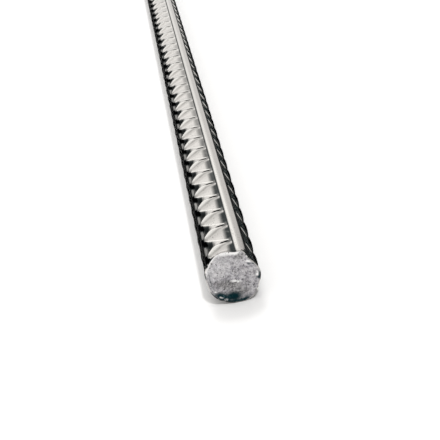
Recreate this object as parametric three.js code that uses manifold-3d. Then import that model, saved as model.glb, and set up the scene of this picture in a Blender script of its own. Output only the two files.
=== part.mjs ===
// Steel reinforcing bar, 5/8 inch nominal, one hot-rolled piece cropped square at both ends.
// Millimetres, +Z up. The bar lies along Y on a level floor, and the origin is on the floor
// under its middle. Its slanted crescent ribs are fine relief and aren't part of this solid.

import * as THREE from 'three';
import { mergeVertices } from 'three/addons/utils/BufferGeometryUtils.js';
import Module from 'manifold-3d';

const wasm = await Module();
wasm.setup();

// Driving dimensions
const NOMINAL_DIAMETER = 15.875;     // the plain round bar that weighs the same
const BAR_LENGTH = 1219.2;           // the 4 ft stock length
const ACROSS_LONG_RIBS = 16.6;       // top of one lengthwise rib to the top of the other
const RIB_TOP_WIDTH = 3.0;
const RIB_FOOT_WIDTH = 4.0;
const RIB_CORNER_RADIUS = 0.5;
const RIB_FLANK_LEAN = 0.15;         // how far a flank's fillet bellies out from the top's width
const RIB_ROOT_DEPTH = 1.0;          // how far a rib's blank is buried in the core
const CROP_EDGE_RADIUS = 0.5;        // rim that the shear rolls over at each end

// How finely the round stretches are drawn
const CORE_FLATS = 24;               // a multiple of four, one flat down on the floor
const EDGE_STEPS = 3;
const CURVE_STEPS = 4;
const MERGE_DISTANCE = 1e-4;

const coreRadius = NOMINAL_DIAMETER / 2;
const ribTop = ACROSS_LONG_RIBS / 2;
const ribFoot = Math.sqrt(coreRadius ** 2 - (RIB_FOOT_WIDTH / 2) ** 2);
const flatHeight = coreRadius * Math.cos(Math.PI / CORE_FLATS);   // bar's axis above the floor

// Half of a lathe profile's rounded rim: from the end face out to the full radius.
function rimPoints(radius, endY, inward) {
  const points = [];
  for (let step = 0; step <= EDGE_STEPS; step += 1) {
    const turn = (step / EDGE_STEPS) * (Math.PI / 2);
    points.push(new THREE.Vector2(
      radius - CROP_EDGE_RADIUS * (1 - Math.sin(turn)),
      endY + inward * CROP_EDGE_RADIUS * (1 - Math.cos(turn)),
    ));
  }
  return points;
}

// A plain round blank turned about Y, its rims rolled over, with a flat underneath.
function turnedBlank(radius) {
  const end = BAR_LENGTH / 2;
  const profile = [
    new THREE.Vector2(0, -end),
    ...rimPoints(radius, -end, 1),
    ...rimPoints(radius, end, -1).reverse(),
    new THREE.Vector2(0, end),
  ];
  return new THREE.LatheGeometry(profile, CORE_FLATS, Math.PI / CORE_FLATS, 2 * Math.PI);
}

// Section of one lengthwise rib, standing on the core: filleted flanks and a flat top.
function ribShape() {
  const half = RIB_TOP_WIDTH / 2;
  const belly = half + RIB_FLANK_LEAN;
  const shoulder = ribTop - RIB_CORNER_RADIUS;
  const shape = new THREE.Shape();
  shape.moveTo(-RIB_FOOT_WIDTH / 2, ribFoot - RIB_ROOT_DEPTH);
  shape.lineTo(RIB_FOOT_WIDTH / 2, ribFoot - RIB_ROOT_DEPTH);
  shape.lineTo(RIB_FOOT_WIDTH / 2, ribFoot);
  shape.quadraticCurveTo(belly, ribFoot, half, shoulder);
  shape.absarc(half - RIB_CORNER_RADIUS, shoulder, RIB_CORNER_RADIUS, 0, Math.PI / 2);
  shape.absarc(RIB_CORNER_RADIUS - half, shoulder, RIB_CORNER_RADIUS, Math.PI / 2, Math.PI);
  shape.quadraticCurveTo(-belly, ribFoot, -RIB_FOOT_WIDTH / 2, ribFoot);
  return shape;
}

// One lengthwise rib as a straight length along Y, on top of the core.
function ribGeometry(shape) {
  const options = { depth: BAR_LENGTH, bevelEnabled: false, curveSegments: CURVE_STEPS };
  const geometry = new THREE.ExtrudeGeometry(shape, options);
  return geometry.translate(0, 0, -BAR_LENGTH / 2).rotateX(Math.PI / 2);
}

// Left alone, the bar settles on a flat of its core and on one corner of its lower rib. This is
// the turn from upright at which a point of the rib's section comes down to the floor.
function restTurn(shape) {
  const turns = shape.getPoints(CURVE_STEPS)
    .filter((point) => point.length() > flatHeight)
    .map((point) => Math.atan2(point.x, point.y) + Math.acos(flatHeight / point.length()));
  return Math.max(...turns);
}

function toSolid(geometry) {
  const bare = geometry.clone();
  bare.deleteAttribute('normal');
  bare.deleteAttribute('uv');
  const merged = mergeVertices(bare, MERGE_DISTANCE);
  const corners = Array.from(merged.index.array);
  const triangles = [];
  for (let i = 0; i < corners.length; i += 3) {
    const [a, b, c] = corners.slice(i, i + 3);
    if (a !== b && b !== c && c !== a) triangles.push(a, b, c);   // not the slivers on the axis
  }
  return new wasm.Manifold(new wasm.Mesh({
    numProp: 3,
    vertProperties: new Float32Array(merged.attributes.position.array),
    triVerts: new Uint32Array(triangles),
  }));
}

function toGeometry(solid) {
  const { vertProperties, triVerts } = solid.getMesh();
  const geometry = new THREE.BufferGeometry();
  geometry.setAttribute('position', new THREE.BufferAttribute(vertProperties, 3));
  geometry.setIndex(new THREE.BufferAttribute(triVerts, 1));
  geometry.computeVertexNormals();
  return geometry;
}

// The core and its two lengthwise ribs, the ribs' ends trimmed by a blank that just holds them.
function barGeometry() {
  const shape = ribShape();
  const reach = Math.max(...shape.getPoints(CURVE_STEPS).map((point) => point.length()));
  const trim = toSolid(turnedBlank(reach / Math.cos(Math.PI / CORE_FLATS)));
  const upperRib = ribGeometry(shape).rotateY(restTurn(shape));
  const lowerRib = upperRib.clone().rotateY(Math.PI);
  const ribs = toSolid(upperRib).add(toSolid(lowerRib)).intersect(trim);
  return toGeometry(toSolid(turnedBlank(coreRadius)).add(ribs));
}

const hotRolledSteel = new THREE.MeshStandardMaterial({
  color: 0xb9b5af,
  roughness: 0.38,
  metalness: 1,
});

const ribbedBar = new THREE.Mesh(barGeometry(), hotRolledSteel);
ribbedBar.name = 'ribbed_bar';
ribbedBar.position.z = flatHeight;

const part = new THREE.Group();
part.add(ribbedBar);

export default part;
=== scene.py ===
"""Looks of a ribbed steel reinforcing bar: rolled relief, cropped ends, steel, and the studio."""

import math

import bmesh
import bpy
import numpy as np
from mathutils import Matrix, Vector, noise


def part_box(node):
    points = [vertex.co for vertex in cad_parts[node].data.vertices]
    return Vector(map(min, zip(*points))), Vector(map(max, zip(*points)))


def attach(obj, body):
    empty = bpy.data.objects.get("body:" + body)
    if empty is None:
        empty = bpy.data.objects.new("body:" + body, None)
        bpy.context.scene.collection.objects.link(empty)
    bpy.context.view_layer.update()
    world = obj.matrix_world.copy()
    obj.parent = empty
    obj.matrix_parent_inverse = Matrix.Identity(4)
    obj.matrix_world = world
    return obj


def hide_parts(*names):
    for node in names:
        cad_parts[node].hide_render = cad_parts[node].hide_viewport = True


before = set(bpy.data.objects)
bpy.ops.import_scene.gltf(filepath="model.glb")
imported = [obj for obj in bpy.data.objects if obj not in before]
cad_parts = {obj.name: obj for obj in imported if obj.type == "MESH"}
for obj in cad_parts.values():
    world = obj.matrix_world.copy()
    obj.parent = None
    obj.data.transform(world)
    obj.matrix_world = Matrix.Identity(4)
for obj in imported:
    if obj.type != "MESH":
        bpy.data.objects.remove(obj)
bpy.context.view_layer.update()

MM = 0.001
NODE = "ribbed_bar"

# The bar, in millimetres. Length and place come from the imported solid.
low, high = (Vector(corner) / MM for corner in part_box(NODE))
BAR_LENGTH = high.y - low.y
AXIS_HEIGHT = (low.z + high.z) / 2
REST_TURN = math.radians(27.685)      # upper lengthwise rib, from straight up towards +X
CORE_RADIUS = 7.85
WELD = 2e-6                           # metres, points nearer than this become one

# Lengthwise ribs: where their middles lie, in degrees from the upper one's place on the solid,
# and a half section, degrees from the middle and height above the core
RIB_MIDDLES = (3.0, 90.0, 183.0, 268.0)
LONG_RIB = [(0, 0.72), (4, 0.74), (9.0, 0.78), (11.0, 0.69), (12.5, 0.52), (14.0, 0.25),
            (17, 0.13), (21.5, 0.05), (27, 0.0), (34, 0.0)]
LONG_RIB_ROUNDING = 0.9               # degrees

# Slanted crescent ribs, a row in each quarter. Angles are degrees from the quarter's first
# rib, going down either side, and pairs are for the rows on the left and on the right
PITCH = 11.1
FIRST_RIB = (5.3, 3.94)               # from the near end to a rib's line, before slant and hook
CRESCENT_START = (12.0, 18.0)
CRESCENT_PEAK = 58.0
CRESCENT_END = 84.0
SLANT = 0.0137                        # drop towards the near end per degree
HOOK = (1.9, 7.4)                     # how far a crescent's thin tip bends away from that line
HOOK_REACH = (14.0, 16.0)
CREST_HEIGHT = (0.92, 0.72)
# The rest of a crescent is the same in all rows
HEIGHT_TAPER = (1.8, 4.0)             # powers of the taper to the upper and to the lower tip
WIDTH_TAPER = (4.0, 1.1)
RISE_BESIDE_RIB = (12.5, 17)          # degrees over which it comes out of the first rib's foot
LAND_HALF_WIDTH = (0.22, 1.35)        # at a tip, and how much more where the crescent is widest
FLANK_LENGTH = 0.75                   # steep side away from the near end
NEAR_SHARE = (0.30, 0.15)             # of the height, at the near edge: at a tip, more where widest
FAR_SHARE = 0.38                      # of the height, at the steep side's foot where widest
NEAR_FILLET, FAR_FILLET = 1.7, 2.2    # lengths over which the valley's fillets die away
EDGE_ROUNDING = 0.14

# The mesh's columns, degrees from a lengthwise rib's middle and from the quarter's first rib
COLUMNS_AT_RIB = [0, 5.5, 8.0, 9.5, 11, 12.5, 14, 16.5, 20, 24.5]
COLUMNS_BETWEEN = [29.5, 35, 41, 47, 53.5, 60, 65.5]
# Its rows on a crescent's land, on its steep side and in the valley behind, as shares of each
FINE_ROWS = ([0.0, 0.1, 0.25, 0.45, 0.7, 0.92], [0.0, 0.3, 0.65],
             [0.0, 0.06, 0.16, 0.3, 0.45, 0.58, 0.7, 0.8, 0.88, 0.95])
COARSE_ROWS = ([0.0, 0.45], [0.0], [0.0, 0.33, 0.75])
FINE_RIBS = 17                        # ribs at the near end that get the finer rows
FRINGE = 2.2                          # length of bar with straight rows at each end
END_ROWS = [0.0, 0.07, 0.16, 0.3, 0.5, 0.8, 1.2, 1.7]

# Painted shade on the skin. A pair is a start and a stop, in degrees from the quarter's first rib
# or in mm past a crescent's line, between which a mark comes in or dies away. The painted shade is
# full at a strength of 1, and turns black from there to BLACK
BLACK = 2
LEFT_ROWS, RIGHT_ROWS = (1.0, 0.0), (0.0, 1.0)
# Painted shade in the corner beside the first rib, thinning further along the bar
UPPER_SHADE = (10.5, 11.5), (20, 32)  # beside the first rib
UPPER_SHADE_PARTS = [(0.45, 0.9, 0.75), (2.6, 3.8, 0.25)]       # start, stop, strength added
UPPER_SHADE_GAP = (-0.6, -0.25)       # before the next crescent's near edge
UPPER_SHADE_THINS = [(25, 140, 0.52), (190, 265, 0.40)]         # along the bar, strength lost
# Painted shade: a thin dark line in the crease along the first rib's foot
GROOVE = (10.5, 11.3), (12.5, 14.2)   # thin dark line along the first rib's foot
GROOVE_STRENGTH = 1.25
# Beside the second rib: grey, a painted reflection of the floor, turning black past a line as
# painted shade
LOWER_SHADE = (69, 72), (87, 89)      # beside the second rib
LOWER_SHADE_LEAST = 0.62
LOWER_BLACK = (4.9, 0.26, 70.6)       # it turns black past this line: mm, slope, at degrees
LOWER_BLACK_EDGE = (-0.3, 0.3)
# Painted shade: black under a crescent's lower tip, on the left side rib's shoulder and in the
# hollow behind a crescent's lower half
CREST_FOOT = (74, 78), (0.7, 1.0)     # black under a crescent's lower tip: degrees, mm
DARK_RIM = (82, 84.5), (87, 89)       # black line on the left side rib's shoulder
POCKET = (53, 60), (71, 74)           # black hollow behind a crescent's lower half
POCKET_START = (0.3, 1.0)             # behind the steep side's foot
POCKET_LENGTH = (0.5, 1.2), (5.0, 6.0)                          # before the bright line
POCKET_STRENGTH = 1.5
# Painted shade down the right rows, stronger on their crests
SHADED = (34, 42)                     # the right rows are dark from here down
SHADED_STRENGTH = (0.5, 1.2)          # in their valleys, and how much more on their crests
SHADED_CREST = (0.1, 0.9), (-1.5, -0.6)        # crests reach to past the foot, from before the next
# Darker tone on the first lengthwise rib's top; a painted highlight on its shoulder; polished
# crests with a painted highlight, and a painted highlight on their sharp near edges
RIB_TOP_MIDDLE = 2.2                  # degrees from the first lengthwise rib's middle
RIB_TOP = (9.3, 10.5)
SHOULDER, SHOULDER_STRENGTH = (12, 14), 0.5
CREST_POLISH_HIGHLIGHT = (0.6, 0.9)           # shares of the crest's full height
EDGE_HIGHLIGHT = (14, 17), (36, 44)    # a crescent's sharp near edge in its upper half
EDGE_HIGHLIGHT_WIDTH = (0.1, 0.35)

# Painted light in a valley of the left rows, a painted highlight line and a painted shade dash:
# where each starts along the bar, at which angle, slope and bend, over which angles, and its soft
# half width
BRIGHT_LINE = (8.85, 20.4, 0.0, 0.00194)
BRIGHT_LINE_REACH = (17, 21), (78, 70)
BRIGHT_LINE_WIDTH = (0.5, 0.1)
DARK_DASH = (7.69, 30.0, -0.026, 0.0)
DARK_DASH_REACH = (18, 24), (44, 36)
DARK_DASH_WIDTH = (0.6, 0.3)

# Cropped ends
ROLLED_EDGE = 0.3                     # radius of the rolled-over rims
# Outline of a face: degrees from the upper lengthwise rib, radius
FACE_OUTLINE = [(-171, 9.7), (-159, 9.4), (-149, 9.1), (-138, 8.7), (-127, 8.5), (-114, 8.5),
                (-99, 8.9), (-89, 8.7), (-62, 9.1), (-47, 9.2), (-22, 8.4), (-12, 8.3), (0, 9.2),
                (14, 7.9), (24, 7.4), (37, 7.7), (64, 8.8), (89, 9.0), (101, 9.3), (115, 10.1),
                (130, 10.4), (143, 10.5), (165, 9.9), (177, 9.8)]
OUTLINE_ROUNDING = 6                  # degrees
LIP_REACH = 1.1                       # how far along the bar the pressed outline dies away
LIP_FLOOR = 10.2                      # the lips that carry the bar are flat where they touch down
LEAST_DOWN = 0.05                     # keeps that flat away from the sides and the top
FACE_RINGS = 17
RING_CROWDING = 1.35                  # rings lie closer together towards the rim
FACE_LUMPS = ((0.35, 0.22), (1.3, 0.12), (3.7, 0.06))           # fineness, height
LUMPS_FADE = 6                        # how fast the lumps grow inwards from the rim
LUMPS_LAYER, BROKEN_LAYER = 3.1, 7.7  # slices of the noise, mirrored for the far face
BROKEN_FINENESS = 0.9                 # of the noise that breaks up the marks at the rim
# Ovals on a face: middle x and z, half length, half width, lean in degrees
# Darker, sunken ovals
DARK_OVALS = [(-1.4, -3.3, 4.8, 1.9, -16), (0.8, -6.0, 3.8, 1.3, -6), (3.1, 6.0, 2.2, 1.2, 6)]
DARK_OVAL_DEPTH = 0.2
# Raised burrs, painted near white as highlights
BURRS = [(7.6, -1.1, 1.1, 0.5, 82), (5.6, 3.8, 1.3, 0.4, -8), (0.7, -2.3, 1.7, 0.4, -14),
         (-4.9, -7.0, 0.5, 0.3, -30), (-3.3, -8.2, 0.6, 0.3, -24), (-6.2, -4.6, 0.6, 0.3, -50)]
BURR_HEIGHT = 0.15
# A painted sheen, lighter towards the upper left
PAINTED_SHEEN = [(-4.4, 4.0, 5.5, 3.6, 40)]
PAINTED_SHEEN_STRENGTH = 0.2
# Painted shade: blue-black ovals low on the face, and two small black spots at notches
FACE_SHADE_SPOTS = [(-0.9, -7.5, 3.2, 1.8, -8), (-4.0, -7.2, 3.6, 1.7, -32), (5.5, 2.8, 0.35, 0.3, 0),
           (6.8, 2.5, 0.35, 0.3, 0)]
SPOT_EDGE = (0.45, 1.25)              # each is an oval that dies away between these shares of it
# Stretches of a face's rim: middle and half length in degrees. Radii are shares of the outline
STRETCH_CORE = 0.6                    # a stretch is whole over this share of its half length
RIM, RIM_UNEVENNESS = (0.80, 0.94), 0.06
THIN_RIM = (0.91, 0.98)
# Painted highlight on the rounded top and upper left of the rim
BRIGHT_RIM, BRIGHT_THIN_RIM = (2, 28), (-40, 50)
# Painted shade on the rim under the face's bottom and on its right
DARK_RIMS = [(186, 40), (102, 12)]
# Painted highlight and painted shade on the rolled rim
ROLLED_RIM = (-100, 34)               # a bright line with a dark one inside it
ROLLED_BRIGHT, ROLLED_DARK = (0.905, 0.5), (0.86, 0.8)          # radius, strength
ROLLED_WIDTH = 0.02
ROLLED_BREAKS, ROLLED_LEAST = (-0.25, 0.25), 0.35               # of the noise, strength in a break

# Studio, in metres
# Lamps: name, direction from the bar, energy, angle in degrees
LAMPS = [("key", (0.17, -0.6, 1.0), 1.15, 4), ("soft", (0.0, 0.6, 1.0), 0.8, 22)]
STUDIO_LEVEL = 1.2                    # strength of the studio's light, by which 1 / 1.2 is white
TENT_RADIUS = 100.0
FLOOR_SIZE = 12.0
FIN_REACH = (-0.6, 1.2, -0.605, 2.0)  # from and to in x, from and to in y
FIN_GAP, FIN_HEIGHT = 0.0002, 0.006   # a fin's lower and upper edge above the floor
FIN_SPACING, FIN_THICKNESS = 0.002, 0.00005
ALL_ROUND, AHEAD_ONLY = -3.0, 0.12    # direction's y from which the studio has dark walls

# Camera, in degrees and millimetres
CAMERA_ROLL, CAMERA_YAW, CAMERA_PITCH = -10.85, 1.81, 27.02
CAMERA_SPOT = (-8.73, -256.43, 150.35)         # from the middle of the near face
FOCAL_PX, FRAME_PX, SENSOR_WIDTH = 966.0, 440.0, 36.0


def smooth_step(low_edge, high_edge, value):
    """0 below the low edge, 1 above the high one, with a smooth rise between them."""
    t = np.clip((value - low_edge) / (high_edge - low_edge), 0, 1)
    return t * t * (3 - 2 * t)


def within(value, rise, fall):
    """1 after the rise and before the fall, each a start and a stop, and 0 outside them."""
    return smooth_step(*rise, value) * (1 - smooth_step(*fall, value))


def stepped(value, steps):
    """Sum of smooth steps, each a start, a stop and a height."""
    return sum(height * smooth_step(start, stop, value) for start, stop, height in steps)


def averaged(shape, reach):
    """Mean of shape(shift) for shifts up to reach either way, which rounds off its edges."""
    shifts = np.linspace(-reach, reach, 5)
    return sum(shape(shift) for shift in shifts) / len(shifts)


def by_row(phi, pair):
    """The pair's first value in the rows on the left, its second in those on the right."""
    return np.where(phi < 0, pair[0], pair[1])


def into_quarter(phi):
    """Degrees past a quarter's first lengthwise rib, 0 to 90, going down either side."""
    side = np.degrees(np.abs(phi))
    return np.where(side < 90, side, side - 90)


def lengthwise_rib(phi):
    """Height of the four lengthwise ribs above the core."""
    away = np.full_like(phi, 180.0)
    for middle in RIB_MIDDLES:
        away = np.minimum(away, np.abs(np.mod(np.degrees(phi) - middle + 180, 360) - 180))
    angles, heights = zip(*LONG_RIB)
    return averaged(lambda shift: np.interp(np.abs(away + shift), angles, heights),
                    LONG_RIB_ROUNDING)


def rib_line(phi):
    """Where the middle of the first crescent lies along the bar at angle phi."""
    side = into_quarter(phi)
    past = np.maximum(side - by_row(phi, CRESCENT_START), 0)
    hook = np.exp(-past / by_row(phi, HOOK_REACH))
    return by_row(phi, FIRST_RIB) - SLANT * side + by_row(phi, HOOK) * hook


def rib_shape(phi):
    """Height envelope and width envelope of a crescent at angle phi, both 0 at its tips."""
    past = into_quarter(phi) - CRESCENT_PEAK
    above = past < 0
    u = np.where(above, past / (by_row(phi, CRESCENT_START) - CRESCENT_PEAK),
                 past / (CRESCENT_END - CRESCENT_PEAK))
    u = np.clip(np.abs(u), 0, 1)
    return 1 - u ** np.where(above, *HEIGHT_TAPER), (1 - u ** 2) ** np.where(above, *WIDTH_TAPER)


def stations(phi):
    """Distances from a crescent's line to its near edge, far edge and far foot."""
    tip, extra = LAND_HALF_WIDTH
    half = tip + extra * rib_shape(phi)[1]
    return -half, half, half + FLANK_LENGTH


def profile(d, phi):
    """Crescent height at distance d from a crescent's line, near edge to next near edge."""
    tall, wide = rib_shape(phi)
    near, far, foot = stations(phi)
    h_near = NEAR_SHARE[0] + NEAR_SHARE[1] * wide
    h_foot = FAR_SHARE * wide
    land = 1 - (1 - h_near) * np.clip((far - d) / (far - near), 0, 1) ** 3
    flank = 1 + (h_foot - 1) * (d - far) / (foot - far)
    fillets = (h_foot * np.exp((foot - np.maximum(d, foot)) / FAR_FILLET)
               + h_near * np.exp((np.minimum(d - near, PITCH) - PITCH) / NEAR_FILLET))
    return tall * np.where(d < far, land, np.where(d < foot, flank, fillets))


def along(phi, y):
    """Distance from a crescent's line, counted from that crescent's near edge."""
    near = stations(phi)[0]
    return np.mod(y - rib_line(phi) - near, PITCH) + near


def crescent(phi, y):
    """Height of the crescents above the core, with their edges rounded."""
    height = averaged(lambda shift: profile(along(phi, y + shift), phi), EDGE_ROUNDING)
    return by_row(phi, CREST_HEIGHT) * height


def surface_radius(phi, y):
    """Distance of the rolled skin from the bar's axis, away from the cropped ends."""
    rise = smooth_step(*RISE_BESIDE_RIB, into_quarter(phi))
    return CORE_RADIUS + lengthwise_rib(phi) + crescent(phi, y) * rise


def columns():
    """Angles round the bar, finer across the lengthwise ribs and the crescents' tips."""
    quarter = COLUMNS_AT_RIB + COLUMNS_BETWEEN + [90 - a for a in reversed(COLUMNS_AT_RIB[:-1])]
    side = np.radians(quarter + [90 + a for a in quarter[1:]])
    return np.concatenate([side, side[1:-1] - math.pi])


def rib_rows(phi, shares):
    """Distances from a crescent's line of the rows that draw one pitch."""
    near, far, foot = stations(phi)
    spans = ((near, far), (far, foot), (foot, near + PITCH))
    return [a + (b - a) * share for (a, b), part in zip(spans, shares) for share in part]


def bar_grid():
    """Angle and distance from the near end of each point of the skin; rows follow the ribs."""
    phi = columns()
    line = rib_line(phi)
    rows = []
    for n in range(-2, int(BAR_LENGTH / PITCH) + 3):
        shares = FINE_ROWS if n < FINE_RIBS else COARSE_ROWS
        rows += [line + n * PITCH + d for d in rib_rows(phi, shares)]
    y = np.clip(np.array(rows), FRINGE, BAR_LENGTH - FRINGE)
    near = np.array([np.full_like(phi, v) for v in END_ROWS])
    y = np.vstack([near, y, BAR_LENGTH - near[::-1]])
    return np.broadcast_to(phi, y.shape), y


def pressed_end(phi, y, r):
    """The shears press the ends a little out of round, with a lip that is flat on the floor."""
    angles, radii = zip(*FACE_OUTLINE)
    face = averaged(lambda shift: np.interp(np.degrees(phi) + shift, angles, radii, period=360),
                    OUTLINE_ROUNDING)
    down = np.maximum(-np.cos(phi + REST_TURN), LEAST_DOWN)
    face = np.minimum(face, LIP_FLOOR / down)
    near = np.exp(-(np.minimum(y, BAR_LENGTH - y) / LIP_REACH) ** 2)
    return r + (face - r) * near


def rounded_edge(y):
    """How much radius the rolled-over rims of both ends take away."""
    lost = 0
    for e in (y, BAR_LENGTH - y):
        k = np.clip(1 - e / ROLLED_EDGE, 0, 1)
        lost = lost + ROLLED_EDGE * (1 - np.sqrt(1 - k ** 2))
    return lost


def place(phi, r, y):
    """Points in metres from angle, radius and distance from the near end."""
    turn = phi + REST_TURN
    return np.stack([r * np.sin(turn), y + low.y, AXIS_HEIGHT + r * np.cos(turn)], -1) * MM


def skin_marks(phi, y):
    """Masks for the steel: painted shade, painted highlights on polished crests and the rib's
    shoulder, and the rib tops.
    """
    side = into_quarter(phi)
    d = along(phi, y)
    near, _, foot = stations(phi)
    to_next = d - near - PITCH

    # Painted shade in corners, creases and hollows, on the lower sides and down the right rows
    upper = within(side, *UPPER_SHADE) * (1 - smooth_step(*UPPER_SHADE_GAP, to_next))
    upper = upper * (1 - stepped(y, UPPER_SHADE_THINS)) * stepped(d, UPPER_SHADE_PARTS)
    groove = GROOVE_STRENGTH * within(side, *GROOVE)
    start, slope, angle = LOWER_BLACK
    past = d - start - slope * (side - angle)
    lower = np.maximum(LOWER_SHADE_LEAST, BLACK * smooth_step(*LOWER_BLACK_EDGE, past))
    lower = within(side, *LOWER_SHADE) * lower
    from_angle, to_distance = CREST_FOOT
    under_tip = smooth_step(*from_angle, side) * (1 - smooth_step(*to_distance, d))
    rim = BLACK * within(side, *DARK_RIM) * by_row(phi, LEFT_ROWS)

    start, angle, _, bend = BRIGHT_LINE
    line = start + bend * (side - angle) ** 2 + by_row(phi, FIRST_RIB) - FIRST_RIB[0]
    pocket = within(side, *POCKET) * smooth_step(*(foot + edge for edge in POCKET_START), d)
    pocket = POCKET_STRENGTH * pocket * within(np.mod(line - y, PITCH), *POCKET_LENGTH)

    past_foot, before_next = SHADED_CREST
    on_crest = np.maximum(1 - smooth_step(*(foot + edge for edge in past_foot), d),
                          smooth_step(*before_next, to_next))
    in_valley, more_on_crest = SHADED_STRENGTH
    shaded = by_row(phi, RIGHT_ROWS) * smooth_step(*SHADED, side)
    shaded = shaded * (in_valley + more_on_crest * on_crest)
    # The scale mask holds all of this painted shade
    scale = np.maximum.reduce([upper, groove, lower, BLACK * under_tip, rim, pocket, shaded])

    # Darker tone on the first lengthwise rib's top, and a painted highlight on its shoulder
    across = np.degrees(np.mod(phi - math.radians(RIB_MIDDLES[0]) + math.pi / 2, math.pi)
                        - math.pi / 2)
    rib_top = 1 - smooth_step(*RIB_TOP, np.abs(across - RIB_TOP_MIDDLE))
    shoulder = SHOULDER_STRENGTH * (1 - smooth_step(*SHOULDER, np.abs(across))) * (1 - rib_top)
    # Polished crests with a painted highlight, and a painted highlight on their sharp near edges
    crest = smooth_step(*CREST_POLISH_HIGHLIGHT, crescent(phi, y) / by_row(phi, CREST_HEIGHT))
    from_edge = np.minimum(np.abs(d - near), np.abs(to_next))
    edge = within(side, *EDGE_HIGHLIGHT) * (1 - smooth_step(*EDGE_HIGHLIGHT_WIDTH, from_edge))
    crest = np.maximum(crest, edge) * (1 - np.minimum(shaded, 1))
    return np.stack([np.zeros_like(scale), scale, np.maximum(crest, shoulder), rib_top], -1)


def sector(turn, middle, half):
    """1 in the middle of a sector of the face, 0 beyond its half width; angles in degrees."""
    away = np.abs(np.mod(np.degrees(turn) - middle + 180, 360) - 180)
    return 1 - smooth_step(STRETCH_CORE * half, half, away)


def spots(x, z, ovals):
    """Soft ovals on a face, each a middle, a half length, a half width and a lean."""
    mask = np.zeros_like(x)
    for middle_x, middle_z, half_length, half_width, lean in ovals:
        c, s = math.cos(math.radians(lean)), math.sin(math.radians(lean))
        u = ((x - middle_x) * c + (z - middle_z) * s) / half_length
        v = ((z - middle_z) * c - (x - middle_x) * s) / half_width
        mask = np.maximum(mask, 1 - smooth_step(*SPOT_EDGE, np.hypot(u, v)))
    return mask


def lumps(x, z, layer, fineness):
    """Smooth noise over a face, about -1 to 1."""
    return np.array([noise.noise(Vector((a, b, layer)) * fineness) for a, b in zip(x, z)])


def face_rings(phi, outline, flip):
    """Rings of one cropped face inside its outline: radius, depth into the bar, marks."""
    turn = phi + REST_TURN
    for i in range(1, FACE_RINGS + 1):
        share = 1 - (i / (FACE_RINGS + 1)) ** RING_CROWDING
        r = outline * share
        x, z = r * np.sin(turn), r * np.cos(turn)
        # Darker, sunken ovals, and raised burrs that are painted as highlights
        dark_oval, burr_and_highlight = spots(x, z, DARK_OVALS), spots(x, z, BURRS)
        depth = sum(lumps(x, z, LUMPS_LAYER * flip, fine) * tall for fine, tall in FACE_LUMPS)
        depth = depth * min(1, LUMPS_FADE * (1 - share)) + DARK_OVAL_DEPTH * dark_oval - BURR_HEIGHT * burr_and_highlight

        broken = lumps(x, z, BROKEN_LAYER * flip, BROKEN_FINENESS)
        rim = smooth_step(*RIM, share + RIM_UNEVENNESS * broken)
        rolled = ROLLED_LEAST + (1 - ROLLED_LEAST) * smooth_step(*ROLLED_BREAKS, broken)
        rolled = sector(turn, *ROLLED_RIM) * rolled
        # A painted highlight line on the rolled rim, and a painted shade line inside it
        bright_line, dark_line = (
            strength * rolled * math.exp(-((share - radius) / ROLLED_WIDTH) ** 2)
            for radius, strength in (ROLLED_BRIGHT, ROLLED_DARK))
        # Painted highlights along with the burrs: a painted sheen, the rim's top and the rolled
        # rim's bright line
        burr_and_highlight = np.maximum.reduce([
            burr_and_highlight, PAINTED_SHEEN_STRENGTH * spots(x, z, PAINTED_SHEEN), rim * sector(turn, *BRIGHT_RIM),
            smooth_step(*THIN_RIM, share) * sector(turn, *BRIGHT_THIN_RIM), bright_line])
        # Painted shade: blue-black ovals, stretches of the rim and the rolled rim's dark line
        face_shade = np.maximum.reduce([
            spots(x, z, FACE_SHADE_SPOTS), *(rim * sector(turn, *part) for part in DARK_RIMS), dark_line])
        yield r, depth, np.stack([np.ones_like(phi), dark_oval, burr_and_highlight, face_shade * (1 - burr_and_highlight)], -1)


def bar_surface():
    """Points, marks and faces: the skin's grid, closed at each end by its cropped face."""
    phi, y = bar_grid()
    r = pressed_end(phi, y, surface_radius(phi, y)) - rounded_edge(y)
    rows, cols = phi.shape
    points = [place(phi, r, y).reshape(-1, 3)]
    marks = [skin_marks(phi, y).reshape(-1, 4)]
    total = rows * cols
    index = np.arange(total).reshape(rows, cols)
    strips, fans = [(index[:-1], index[1:])], []
    for end, row, sign in ((0.0, 0, 1), (BAR_LENGTH, rows - 1, -1)):
        previous = index[row:row + 1]
        for ring_r, depth, finish_and_painted_light in face_rings(phi[row], r[row], sign):
            points.append(place(phi[row], ring_r, end + sign * depth))
            marks.append(finish_and_painted_light)
            ring = np.arange(total, total + cols).reshape(1, cols)
            total += cols
            strips.append((ring, previous) if sign == 1 else (previous, ring))
            previous = ring
        points.append(place(np.array([0.0]), np.array([0.0]), np.array([end])))
        marks.append(np.array([[1.0, 0.0, 0.0, 0.0]]))
        fans.append((total, previous[0]))
        total += 1
    faces = []
    for a, b in strips:
        quads = np.stack([a, np.roll(a, -1, 1), np.roll(b, -1, 1), b], -1)
        faces += quads.reshape(-1, 4).tolist()
    for centre, ring in fans:
        faces += [[centre, q, p] for p, q in zip(ring.tolist(), np.roll(ring, -1).tolist())]
    return np.vstack(points), np.vstack(marks), faces


def add_object(name, data):
    """A new object in the scene."""
    obj = bpy.data.objects.new(name, data)
    bpy.context.scene.collection.objects.link(obj)
    return obj


def build_bar():
    """The bar as one closed mesh; its marks are in the point colours finish_and_painted_light."""
    points, marks, faces = bar_surface()
    mesh = bpy.data.meshes.new("rolled_bar")
    mesh.from_pydata(points.tolist(), [], faces)
    layer = mesh.color_attributes.new("finish_and_painted_light", "FLOAT_COLOR", "POINT")
    layer.data.foreach_set("color", marks.ravel())
    work = bmesh.new()
    work.from_mesh(mesh)
    bmesh.ops.remove_doubles(work, verts=work.verts, dist=WELD)
    bmesh.ops.recalc_face_normals(work, faces=work.faces)
    for face in work.faces:
        face.smooth = True
    work.to_mesh(mesh)
    work.free()
    return add_object("rolled_bar", mesh)


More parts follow.
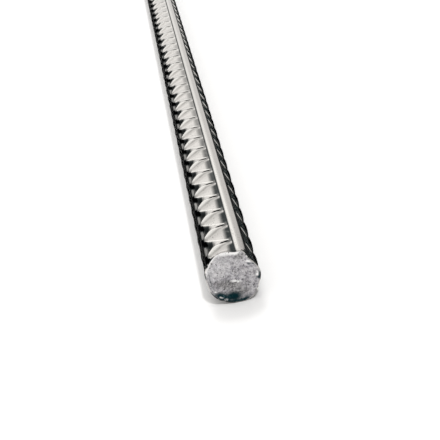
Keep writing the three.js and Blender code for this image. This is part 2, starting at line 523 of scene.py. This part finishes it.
class Shader:
    """Small helper that adds nodes to a node tree and links them."""

    def __init__(self, tree):
        self.nodes, self.links = tree.nodes, tree.links

    def add(self, kind, **settings):
        node = self.nodes.new(kind)
        for name, value in settings.items():
            setattr(node, name, value)
        return node

    def feed(self, socket, value):
        """Link a socket, or set its number or its colour, which is opaque."""
        if isinstance(value, bpy.types.NodeSocket):
            self.links.new(value, socket)
        elif socket.type == "RGBA":
            socket.default_value = (*value, 1)
        else:
            socket.default_value = value

    def math(self, operation, a, b=0.0, clamp=False):
        node = self.add("ShaderNodeMath", operation=operation, use_clamp=clamp)
        self.feed(node.inputs[0], a)
        self.feed(node.inputs[1], b)
        return node.outputs[0]

    def product(self, first, *others):
        for other in others:
            first = self.math("MULTIPLY", first, other)
        return first

    def mix(self, factor, a, b):
        """Colour a where the factor is 0, b where it is 1."""
        node = self.add("ShaderNodeMix", data_type="RGBA")
        for socket, value in zip((0, 6, 7), (factor, a, b)):
            self.feed(node.inputs[socket], value)
        return node.outputs[2]

    def blend(self, factor, a, b):
        """Number a where the factor is 0, b where it is 1."""
        node = self.add("ShaderNodeMix", data_type="FLOAT")
        for socket, value in zip((0, 2, 3), (factor, a, b)):
            self.feed(node.inputs[socket], value)
        return node.outputs[0]

    def ramp(self, value, start, stop, first=0.0, second=1.0):
        """Smooth step of a value from first, at start, to second, at stop."""
        node = self.add("ShaderNodeMapRange", interpolation_type="SMOOTHSTEP")
        for socket, v in zip(node.inputs, (value, start, stop, first, second)):
            self.feed(socket, v)
        return node.outputs[0]

    def noise(self, vector, scale, detail=2.0, rough=0.5):
        node = self.add("ShaderNodeTexNoise")
        for socket, v in zip(("Vector", "Scale", "Detail", "Roughness"),
                             (vector, scale, detail, rough)):
            self.feed(node.inputs[socket], v)
        return node.outputs["Fac"]

    def stretch(self, vector, scale):
        node = self.add("ShaderNodeMapping")
        self.feed(node.inputs["Vector"], vector)
        self.feed(node.inputs["Scale"], scale)
        return node.outputs[0]

    def split(self, vector):
        """The x, y and z of a vector."""
        node = self.add("ShaderNodeSeparateXYZ")
        self.feed(node.inputs[0], vector)
        return node.outputs

    def close(self, kind, output="ShaderNodeOutputMaterial", **inputs):
        """End the tree in one shader with these inputs."""
        shader = self.add(kind)
        for name, value in inputs.items():
            self.feed(shader.inputs[name], value)
        self.feed(self.add(output).inputs["Surface"], shader.outputs[0])


def valley_light_and_shade(s, where):
    """Masks of painted light in each valley of the left rows: a painted highlight line and a
    painted shade dash.
    """
    x, y, z = s.split(where)
    turn = s.math("ARCTAN2", x, s.math("SUBTRACT", z, AXIS_HEIGHT * MM))
    side = s.product(s.math("SUBTRACT", turn, REST_TURN), -180 / math.pi)
    y = s.product(s.math("SUBTRACT", y, low.y * MM), 1 / MM)

    def mark(course, reach, width):
        start, angle, slope, bend = course
        past = s.math("SUBTRACT", side, angle)
        rise = s.product(past, s.math("ADD", slope, s.product(past, bend)))
        away = s.math("SUBTRACT", s.math("SUBTRACT", y, rise), start)
        away = s.math("PINGPONG", away, PITCH / 2)
        return s.product(*(s.ramp(side, *edges) for edges in reach), s.ramp(away, *width))

    return (mark(BRIGHT_LINE, BRIGHT_LINE_REACH, BRIGHT_LINE_WIDTH),
            mark(DARK_DASH, DARK_DASH_REACH, DARK_DASH_WIDTH))


def face_colour(s, where, dark_oval, burr_and_highlight, face_shade):
    """Gritty grey of a cropped face: darker on its dark ovals, near white on its burrs and
    painted highlights, and blue-black in its painted shade.
    """
    grit = s.noise(where, 900, 8, 0.85)
    tone = s.mix(s.noise(where, 330, 2), (0.40, 0.37, 0.372), (0.45, 0.44, 0.485))
    hollows, peaks = s.mix(0.50, tone, (0.05, 0.05, 0.06)), s.mix(0.32, tone, (1.0, 1.0, 1.0))
    face = s.mix(s.ramp(grit, 0.41, 0.60), hollows, peaks)
    dark_oval_colour = s.mix(s.ramp(grit, 0.38, 0.62), (0.05, 0.05, 0.05), (0.37, 0.36, 0.35))
    face = s.mix(s.product(dark_oval, 0.7), face, dark_oval_colour)
    # Burrs and painted highlights near white
    face = s.mix(s.product(burr_and_highlight, 0.92), face, (0.97, 0.96, 0.95))
    pits = s.ramp(s.noise(where, 1500, 1), 0.36, 0.29)
    face = s.mix(s.product(pits, 0.85), face, (0.03, 0.028, 0.03))
    # Painted shade, blue-black, with pale blue painted glints
    blue_black = s.mix(s.ramp(grit, 0.57, 0.70), (0.0015, 0.022, 0.028), (0.24, 0.40, 0.43))
    return s.mix(face_shade, face, blue_black)


def steel():
    """Hot-rolled steel: clean skin with painted shade, polished crests with painted highlights, and
    the gritty cropped faces.

    The point colours called finish_and_painted_light hold 1 on a cropped face; painted shade on the
    skin or dark ovals on a face; painted highlights on polished crests and the rib's shoulder, or
    burrs and painted highlights on a face; and in their alpha the rib tops or the painted shade on
    a face.
    """
    mat = bpy.data.materials.new("hot_rolled_steel")
    mat.use_nodes = True
    s = Shader(mat.node_tree)
    bsdf = mat.node_tree.nodes["Principled BSDF"]
    where = s.add("ShaderNodeTexCoord").outputs["Object"]
    finish_and_painted_light = s.add("ShaderNodeSeparateColor")
    marks = s.add("ShaderNodeVertexColor", layer_name="finish_and_painted_light").outputs
    s.feed(finish_and_painted_light.inputs[0], marks["Color"])
    # On the skin the scale channel is painted shade, and on a face it is the dark ovals
    cut, scale, polish_and_highlight = finish_and_painted_light.outputs
    spare = marks["Alpha"]

    cloud = s.noise(where, 260, 3)
    grain = s.noise(where, 2600, 3, 0.6)
    streaks = s.noise(s.stretch(where, (1.0, 0.08, 1.0)), 1500, 3, 0.6)
    flecks = s.ramp(s.noise(where, 1900, 2), 0.62, 0.7)
    # A painted highlight line and a painted shade dash in the valleys
    line, dash = valley_light_and_shade(s, where)

    clean = s.mix(cloud, (0.64, 0.635, 0.61), (0.71, 0.68, 0.66))
    # The first lengthwise rib's top is darker
    rib_top = s.mix(cloud, (0.53, 0.505, 0.49), (0.51, 0.50, 0.48))
    clean = s.mix(spare, clean, rib_top)
    # Painted highlights near white, on polished crests too
    clean = s.mix(s.math("MAXIMUM", polish_and_highlight, line), clean, (0.88, 0.87, 0.84))
    clean = s.mix(s.product(streaks, 0.25), clean, (0.40, 0.38, 0.36))
    clean = s.mix(s.product(flecks, 0.45), clean, (0.16, 0.15, 0.14))
    # Painted shade: dark and patchy, and black past a strength of 1 and in the painted shade dash
    dark = s.mix(grain, (0.025, 0.031, 0.033), (0.10, 0.11, 0.11))
    patchy = s.product(scale, s.ramp(cloud, 0.25, 0.45, 0.75, 1.0))
    patchy = s.math("MULTIPLY", patchy, s.math("SUBTRACT", 1.0, line), clamp=True)
    black = s.math("MAXIMUM", dash, s.ramp(scale, 1.0, BLACK))
    skin = s.mix(black, s.mix(patchy, clean, dark), (0.003, 0.003, 0.004))
    face = face_colour(s, where, scale, polish_and_highlight, spare)
    s.feed(bsdf.inputs["Base Color"], s.mix(cut, skin, face))
    s.feed(bsdf.inputs["Metallic"], s.blend(cut, 1.0, 0.55))

    # Painted shade, also on a face, dulls the grazing reflection
    dull = s.math("MAXIMUM", black, s.product(patchy, 0.6))
    dull = s.math("MAXIMUM", dull, s.product(cut, spare))
    s.feed(bsdf.inputs["Specular Tint"], s.mix(dull, (1, 1, 1), (0.05, 0.05, 0.05)))

    rough = s.math("ADD", s.blend(polish_and_highlight, 0.10, 0.08), s.product(grain, 0.06))
    rough = s.blend(patchy, rough, 0.42)
    s.feed(bsdf.inputs["Roughness"], s.blend(cut, rough, 0.5))

    relief = s.math("ADD", s.product(grain, 0.4), s.product(streaks, 0.6))
    coarse = s.product(s.noise(where, 700, 6, 0.7), 0.8)
    bump = s.add("ShaderNodeBump")
    s.feed(bump.inputs["Height"], s.blend(cut, s.product(relief, 0.06), coarse))
    s.feed(bump.inputs["Distance"], 0.3 * MM)
    s.feed(bump.inputs["Strength"], 1.0)
    s.feed(bsdf.inputs["Normal"], bump.outputs[0])
    return mat


def surroundings(s, toward, walls_from):
    """Light from the studio round the bar, by direction: a pale dome above dark walls.

    The walls stand only where the direction's y is above walls_from.
    """
    x, y, z = s.split(toward)
    walled = s.ramp(y, walls_from, walls_from + 0.2)
    # Height of the walls: higher on the left than in the middle, and highest on the right
    left = s.math("SUBTRACT", s.ramp(x, -0.65, -0.42, 0.12, 0.20), s.ramp(x, -0.28, 0.2, 0.0, 0.12))
    wall = s.math("MAXIMUM", left, s.ramp(x, 0.3, 0.6, 0.0, 0.5))
    dome = s.ramp(s.math("SUBTRACT", z, s.product(wall, walled)), 0.0, 0.06)
    # A gap in the walls, straight ahead
    slope = s.math("DIVIDE", x, s.math("MAXIMUM", y, 0.001))
    gap = s.product(s.ramp(slope, -0.31, -0.23), s.ramp(slope, 0.60, 0.50),
                    s.ramp(y, 0.0, 0.2), s.ramp(z, -0.01, 0.03))
    # How bright it is: less overhead, behind and on the right, more in a band above the walls
    band = s.math("SUBTRACT", z, s.ramp(x, -0.8, 0.0, 0.22, 0.43))
    band = s.ramp(s.math("ABSOLUTE", band), 0.10, 0.03, 0.0, 0.30)
    level = s.product(s.ramp(z, 0.7, 0.95, 0.80, 0.72), s.ramp(y, 0.35, 0.75, 0.74, 1.0))
    dim = s.product(walled, s.ramp(x, 0.42, 0.6, 0.0, 0.45))
    level = s.product(s.math("ADD", level, band), s.math("SUBTRACT", 1.0, dim))
    lit = s.product(s.math("MAXIMUM", dome, gap), level)
    return s.mix(lit, (0.006, 0.008, 0.008), (1, 0.985, 0.965))


def background_rays(s):
    """1 for the rays that show the background: seen directly, in metal or through glass."""
    ray = s.add("ShaderNodeLightPath").outputs
    mirrored = s.math("ADD", ray["Is Glossy Ray"], ray["Is Transmission Ray"])
    return s.math("ADD", ray["Is Camera Ray"], mirrored)


def stage_material(name, glows=False):
    """A new material without nodes, and the helper that adds them; a glow lights nothing."""
    mat = bpy.data.materials.new(name)
    mat.use_nodes = True
    mat.node_tree.nodes.clear()
    if glows:
        mat.cycles.emission_sampling = "NONE"
    return mat, Shader(mat.node_tree)


def stage_object(name, mesh, materials, only_mirrored=True):
    """A new object of the stage, as a rule seen in reflections only."""
    obj = add_object(name, mesh)
    if only_mirrored:
        obj.visible_camera = obj.visible_diffuse = obj.visible_shadow = False
    for material in materials:
        mesh.materials.append(material)
    return obj


def light_world():
    """The world: white as a background, and the studio's light on all else."""
    world = bpy.data.worlds.new("studio")
    bpy.context.scene.world = world
    world.use_nodes = True
    world.node_tree.nodes.clear()
    s = Shader(world.node_tree)
    sky = surroundings(s, s.add("ShaderNodeTexCoord").outputs["Generated"], ALL_ROUND)
    white = [1 / STUDIO_LEVEL] * 3
    s.close("ShaderNodeBackground", "ShaderNodeOutputWorld",
            Color=s.mix(background_rays(s), sky, white), Strength=STUDIO_LEVEL)


def studio_tent():
    """The tent round the studio, pale above and dark at the sides, seen only in the steel."""
    mat, s = stage_material("studio_tent", glows=True)
    toward = s.add("ShaderNodeVectorMath", operation="NORMALIZE")
    s.feed(toward.inputs[0], s.add("ShaderNodeNewGeometry").outputs["Position"])
    s.close("ShaderNodeEmission", Color=surroundings(s, toward.outputs[0], AHEAD_ONLY),
            Strength=STUDIO_LEVEL)
    shape = bmesh.new()
    bmesh.ops.create_icosphere(shape, subdivisions=4, radius=TENT_RADIUS)
    mesh = bpy.data.meshes.new("studio_tent")
    shape.to_mesh(mesh)
    shape.free()
    stage_object("studio_tent", mesh, [mat])


def lamps():
    """A narrow lamp ahead and a broad one behind, for the floor's shadows; not in the steel."""
    for name, direction, energy, angle in LAMPS:
        data = bpy.data.lights.new(name, "SUN")
        data.energy = energy
        data.angle = math.radians(angle)
        lamp = add_object(name, data)
        lamp.rotation_euler = Vector(direction).to_track_quat("Z", "Y").to_euler()
        lamp.visible_glossy = False


def pale_floor(floor_height):
    """The floor, white where it is seen, and a little under that for other light."""
    mat, s = stage_material("floor")
    s.close("ShaderNodeBsdfDiffuse",
            Color=s.mix(background_rays(s), (0.9, 0.9, 0.9), (1.0, 1.0, 1.0)))
    reach = FLOOR_SIZE / 2
    corners = [(-reach, -reach, 0), (reach, -reach, 0), (reach, reach, 0), (-reach, reach, 0)]
    mesh = bpy.data.meshes.new("floor")
    mesh.from_pydata(corners, [], [(0, 1, 2, 3)])
    stage_object("floor", mesh, [mat], only_mirrored=False).location.z = floor_height


def dark_fins(floor_height):
    """Rows of low fins across the bar, dark towards the near end and white behind.

    They are seen only in the steel, which mirrors a dark floor ahead and a white one elsewhere.
    """
    x0, x1, y0, y1 = FIN_REACH
    low_z, high_z = floor_height + FIN_GAP, floor_height + FIN_HEIGHT
    corners, faces = [], []
    for row in range(int((y1 - y0) / FIN_SPACING)):
        for y in (y0 + row * FIN_SPACING, y0 + row * FIN_SPACING + FIN_THICKNESS):
            n = len(corners)
            corners += [(x0, y, low_z), (x1, y, low_z), (x1, y, high_z), (x0, y, high_z)]
            faces.append((n, n + 1, n + 2, n + 3))
    mesh = bpy.data.meshes.new("dark_fins")
    mesh.from_pydata(corners, [], faces)

    dark, s = stage_material("dark_fins")
    x, _, _ = s.split(s.add("ShaderNodeNewGeometry").outputs["Position"])
    from_left = s.ramp(x, -0.02, 0.02)
    s.close("ShaderNodeBsdfDiffuse",
            Color=s.mix(from_left, (0.001, 0.001, 0.0015), (0.014, 0.025, 0.027)))
    # The backs glow white as the lit floor would look, and light nothing
    white, s = stage_material("white_backs", glows=True)
    s.close("ShaderNodeEmission", Color=(0.9, 0.9, 0.9))
    stage_object("dark_fins", mesh, [dark, white])
    mesh.polygons.foreach_set("material_index", [i % 2 for i in range(len(faces))])


def studio(floor_height):
    """World, tent, lamps, floor and fins."""
    light_world()
    studio_tent()
    lamps()
    pale_floor(floor_height)
    dark_fins(floor_height)


def photo_camera():
    """The camera at the photograph's viewpoint."""
    roll, yaw, pitch = (math.radians(a) for a in (CAMERA_ROLL, CAMERA_YAW, CAMERA_PITCH))
    spot = Vector(CAMERA_SPOT) + Vector((0, low.y, AXIS_HEIGHT))
    forward = Vector((math.sin(yaw) * math.cos(pitch), math.cos(yaw) * math.cos(pitch),
                      -math.sin(pitch)))
    level = Vector((math.cos(yaw), -math.sin(yaw), 0))
    upright = level.cross(forward)
    right = math.cos(roll) * level + math.sin(roll) * upright
    up = math.cos(roll) * upright - math.sin(roll) * level
    data = bpy.data.cameras.new("photo_camera")
    data.lens = FOCAL_PX / FRAME_PX * SENSOR_WIDTH
    data.sensor_width = SENSOR_WIDTH
    data.clip_start = 0.01
    camera = add_object("photo_camera", data)
    basis = Matrix((right, up, -forward)).transposed()
    camera.matrix_world = Matrix.Translation(spot * MM) @ basis.to_4x4()
    bpy.context.scene.camera = camera


bar = build_bar()
bar.data.materials.append(steel())
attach(bar, "root")
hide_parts(NODE)
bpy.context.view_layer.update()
studio(min(v.co.z for v in bar.data.vertices))
photo_camera()
bpy.context.scene.view_settings.view_transform = "Standard"
